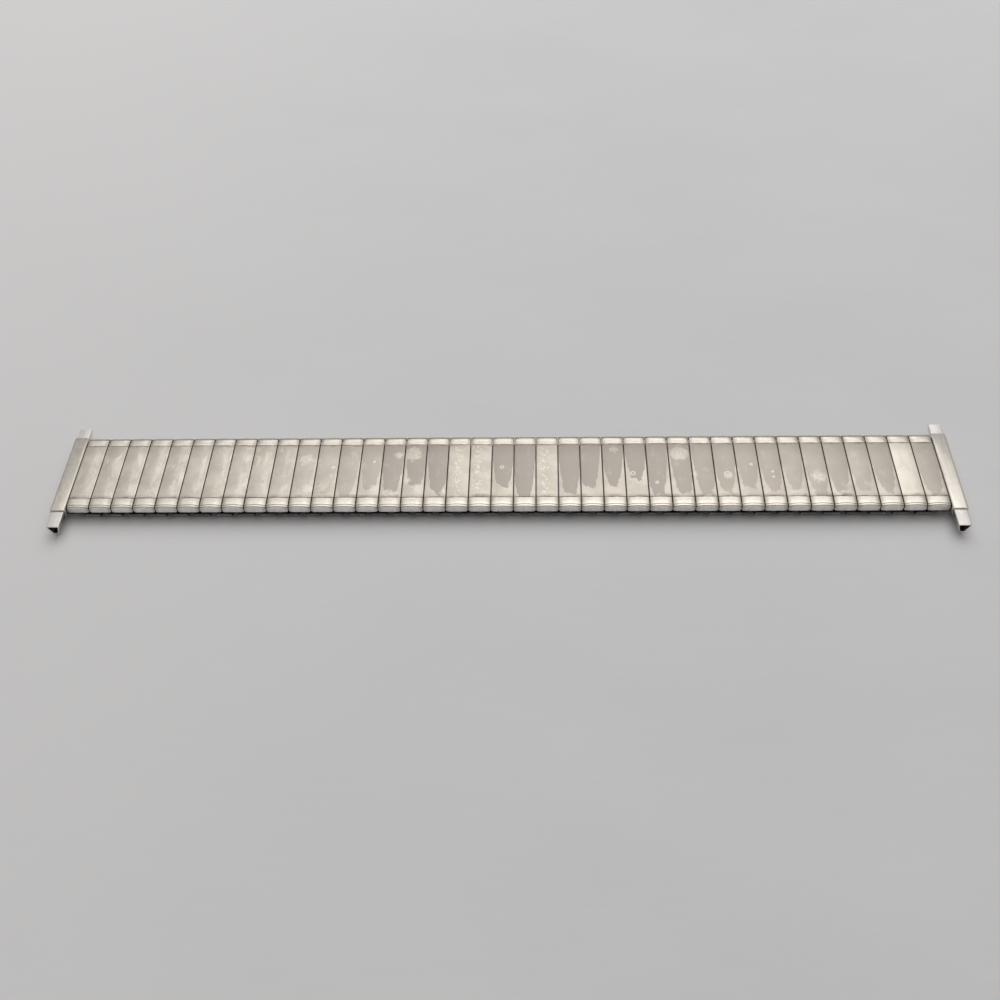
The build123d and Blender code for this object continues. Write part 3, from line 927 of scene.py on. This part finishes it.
def hole_outline():
    """The spring bar's hole, with as many points as end_outline, starting at the same side."""
    points = []
    for x, z in end_outline(TUBE_GROW):
        turn = atan2(z + BAR_DROP, x)
        points.append((BAR_HOLE * cos(turn), -BAR_DROP + BAR_HOLE * sin(turn)))
    return points


def end_rings(x, stations):
    """Rings of an end piece from (y, outline) pairs, y counted from the links' middle."""
    return [[(x + px, BAND_Y + y, HOLLOW_TOP + pz) for px, pz in line] for y, line in stations]


def make_casing(end):
    """The outer tube across the band's end, with drawn-in mouths and rounded rims."""
    bm = bmesh.new()
    edge, part = CASING_EDGE, CASING_EDGE * CASING_EDGE_SHARE
    mouth = CASING_HALF - MOUTH_LENGTH
    back_half = [
        (mouth - MOUTH_SLOPE, BORE_GROW), (mouth, MOUTH_GROW), (CASING_HALF, MOUTH_GROW),
        (CASING_HALF, CASING_GROW - edge), (CASING_HALF - part, CASING_GROW - part),
        (CASING_HALF - edge, CASING_GROW),
    ]
    profile = [(-y, grow) for y, grow in back_half] + back_half[::-1]
    stations = [(y, end_outline(grow, CASING_STEPS)) for y, grow in profile]
    loft(bm, end_rings(CASING_X[end], stations), closed=True)
    # Each casing's polish is toned for the light on it: darker on the left, lighter on the right
    polish = metals[f"{end}_casing_polish"]
    name, node = f"{end}_casing_tube", f"{end}_casing"
    piece(name, bm, [polish], f"{end}_end", node, sharp=24)


def make_tube(end, side_name):
    """A telescoping tube: hollow outwards, with a collar and a bored inner end."""
    bm = bmesh.new()
    side = -1 if side_name == "front" else 1
    tip = CASING_HALF + TUBE_OUT[side_name]
    inner = tip - TUBE_LENGTH
    collar, wall = inner + COLLAR_LENGTH, inner + TUBE_END_WALL
    outline, hole = end_outline, hole_outline()
    stations = [
        (tip, outline(TUBE_RIM_GROW)), (tip, outline(TUBE_GROW - TUBE_EDGE)),
        (tip - TUBE_EDGE, outline(TUBE_GROW)),
        (collar, outline(TUBE_GROW)), (collar, outline(COLLAR_GROW)),
        (inner + TUBE_EDGE, outline(COLLAR_GROW)), (inner, outline(COLLAR_GROW - TUBE_EDGE)),
        (inner, hole), (wall, hole),
        (wall, outline(0.0)), (tip - TUBE_RIM_DEPTH, outline(0.0)),
    ]
    loft(bm, end_rings(CASING_X[end], [(side * y, line) for y, line in stations]), closed=True)
    name = f"{end}_{side_name}_tube"
    piece(f"{name}_piece", bm, [metals["drawn_tube"]], name, name, sharp=28)


def make_coil_half(end, side_name):
    """Half of an end piece's coil spring, baked in place on no body, so it does not close up as its
    tube is pressed in.
    """
    bm = bmesh.new()
    side = -1 if side_name == "front" else 1
    seats = {name: CASING_HALF + out - TUBE_LENGTH - COIL_CLEAR for name, out in TUBE_OUT.items()}
    middle = (seats["back"] - seats["front"]) / 2
    length = (seats["back"] + seats["front"]) / 2
    x, z = CASING_X[end], HOLLOW_TOP - BAR_DROP
    points = []
    for step in range(COIL_STEPS + 1):
        share = step / COIL_STEPS
        turn = pi * COIL_TURNS * share * side
        y = BAND_Y + middle + side * length * share
        points.append((x + COIL_RADIUS * cos(turn), y, z + COIL_RADIUS * sin(turn)))
    wire(bm, points, COIL_WIRE, sides=6)
    name, node = f"{end}_{side_name}_coil", f"{end}_coil_spring"
    made = piece(name, bm, [shade_dark_spring_wire], None, node)
    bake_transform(made)


def make_top_link(number):
    """A top link: shell, sleeve and leaf spring."""
    middle, body = link_x(number) + PITCH / 2, top_body(number)
    make_shell(number)
    bm = bmesh.new()
    sleeve(bm, middle, TOP_FLOOR, TOP_SLEEVE_WIDTH)
    piece(f"top_sleeve_{number:02d}", bm, [sheet_steel, groove], body, body)
    bm = bmesh.new()
    low = TOP_FLOOR + SLEEVE_WALL + LEAF_CLEAR
    leaf(bm, middle, TOP_SLEEVE_WIDTH - 2 * LEAF_SIDE, low, low + LEAF_RISE)
    piece(f"top_leaf_{number:02d}", bm, [shade_dark_spring_wire], body, body)


def make_bottom_link(number):
    """A bottom link: sleeve with its flaps, leaf spring and four bows.

    The right-hand bows reach into the next top link; they are baked in place on no body, so they do
    not lean over with it.
    """
    x, body = link_x(number), bottom_body(number)
    middle = x + PITCH
    bm = bmesh.new()
    sleeve(bm, middle, 0.0, BOTTOM_SLEEVE_WIDTH)
    for side in (-1, 1):
        bottom_flap(bm, middle, side)
    slots = [sheet_steel, groove, metals["bottom_flap"]]
    piece(f"bottom_sleeve_{number:02d}", bm, slots, body, body, sharp=30)
    bm = bmesh.new()
    high = SLEEVE_HEIGHT - SLEEVE_WALL - LEAF_CLEAR - LEAF_THICK
    leaf(bm, middle, BOTTOM_SLEEVE_WIDTH - 2 * LEAF_SIDE, high, high - LEAF_RISE)
    piece(f"bottom_leaf_{number:02d}", bm, [shade_dark_spring_wire], body, body)
    bm = bmesh.new()
    bows(bm, x, LEFT_BOW)
    piece(f"left_bows_{number:02d}", bm, [shade_dark_spring_wire], body, body)
    bm = bmesh.new()
    bows(bm, x, RIGHT_BOW)
    made = piece(f"right_bows_{number:02d}", bm, [shade_dark_spring_wire], None, body)
    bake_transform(made)


for number in range(1, TOP_LINKS + 1):
    make_top_link(number)
for number in range(1, TOP_LINKS):
    make_bottom_link(number)
for end in ("left", "right"):
    make_casing(end)
    for side_name in ("front", "back"):
        make_tube(end, side_name)
        make_coil_half(end, side_name)
    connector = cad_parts[f"{end}_connector"]
    connector.data.materials.clear()
    connector.data.materials.append(sheet_steel)


def floor_material():
    """A pale table with painted light that makes it paler to the left, and faint smears."""
    material, graph, shader = start_material("pale_table", Roughness=FLOOR_ROUGH)
    smear, fine = graph.pattern("table_smears"), graph.pattern("table_grain")
    share = graph.add(smear, graph.multiply(fine, FLOOR_GRAIN_SHARE))
    colour = graph.mix(graph.remap(share, *FLOOR_TONE_RAMP), *FLOOR_TONES)
    axes = graph.node("SeparateXYZ", {0: graph.millimetres()})
    # Painted light, paler towards the left
    paler = graph.remap(axes.outputs[0], *FLOOR_LIT_LEFT_RAMP)
    graph.link(graph.mix(paler, colour, FLOOR_LIT_LEFT_TONE), shader.inputs["Base Color"])
    graph.bump(shader, fine, FLOOR_BUMP, FLOOR_BUMP_HEIGHT)
    return material


bm = bmesh.new()
bmesh.ops.create_grid(bm, x_segments=FLOOR_CELLS, y_segments=FLOOR_CELLS, size=FLOOR_HALF)
mesh = bpy.data.meshes.new("table_top")
bm.to_mesh(mesh)
bm.free()
mesh.materials.append(floor_material())
table_top = bpy.data.objects.new("table_top", mesh)
table_top.location.z = FLOOR_Z
bpy.context.scene.collection.objects.link(table_top)


def area_light(name, place, size, power, colour=(1.0, 1.0, 1.0)):
    """A rectangular lamp that faces the band's middle."""
    data = bpy.data.lights.new(name, "AREA")
    data.shape = "RECTANGLE"
    data.size, data.size_y = size
    data.energy = power
    data.color = colour
    lamp = bpy.data.objects.new(name, data)
    lamp.location = place
    lamp.rotation_euler = (-Vector(place)).to_track_quat("-Z", "Y").to_euler()
    bpy.context.scene.collection.objects.link(lamp)
    return lamp


area_light("back_window", **WINDOW)
shade_maker = area_light("back_canopy", **CANOPY)
shade_maker.visible_glossy = False

# The sky is bright behind and above the band. The camera and the metal see a pale background.
world = bpy.data.worlds.new("studio")
bpy.context.scene.world = world
world.use_nodes = True
graph = Graph(world.node_tree)
background = world.node_tree.nodes["Background"]
direction = graph.node("TexCoord").outputs["Generated"]
axes = graph.node("SeparateXYZ", {0: direction})
canopy = graph.node("VectorMath", {0: direction, 1: SKY_CENTRE}, operation="DOT_PRODUCT")
level = graph.remap(canopy.outputs["Value"], *SKY_RAMP)
level = graph.add(level, graph.remap(axes.outputs[2], *ZENITH_RAMP))
level = graph.multiply(level, graph.remap(axes.outputs[0], *SKY_SIDE_RAMP))
ray = graph.node("LightPath").outputs
seen = graph.highest(ray["Is Camera Ray"], ray["Is Glossy Ray"])
pale = graph.remap(axes.outputs[2], *PALE_BACKGROUND_RAMP)
paler = graph.subtract(graph.highest(level, pale), level)
level = graph.add(level, graph.multiply(seen, paler))
graph.link(level, background.inputs["Strength"])
background.inputs["Color"].default_value = SKY_COLOUR

yaw, pitch, roll = radians(CAMERA_YAW), radians(CAMERA_PITCH), radians(CAMERA_ROLL)
forward = Vector((sin(yaw) * cos(pitch), cos(yaw) * cos(pitch), -sin(pitch)))
level_right = Vector((cos(yaw), -sin(yaw), 0.0))
level_up = level_right.cross(forward)
right = cos(roll) * level_right + sin(roll) * level_up
up = cos(roll) * level_up - sin(roll) * level_right
data = bpy.data.cameras.new("photo_camera")
data.lens = CAMERA_LENS
data.sensor_width = CAMERA_SENSOR
data.clip_start = CAMERA_NEAREST
camera = bpy.data.objects.new("photo_camera", data)
turned = Matrix((right, up, -forward)).transposed().to_4x4()
turned.translation = Vector(CAMERA_PLACE) * MM
camera.matrix_world = turned
bpy.context.scene.collection.objects.link(camera)
bpy.context.scene.camera = camera
bpy.context.scene.view_settings.view_transform = "Standard"
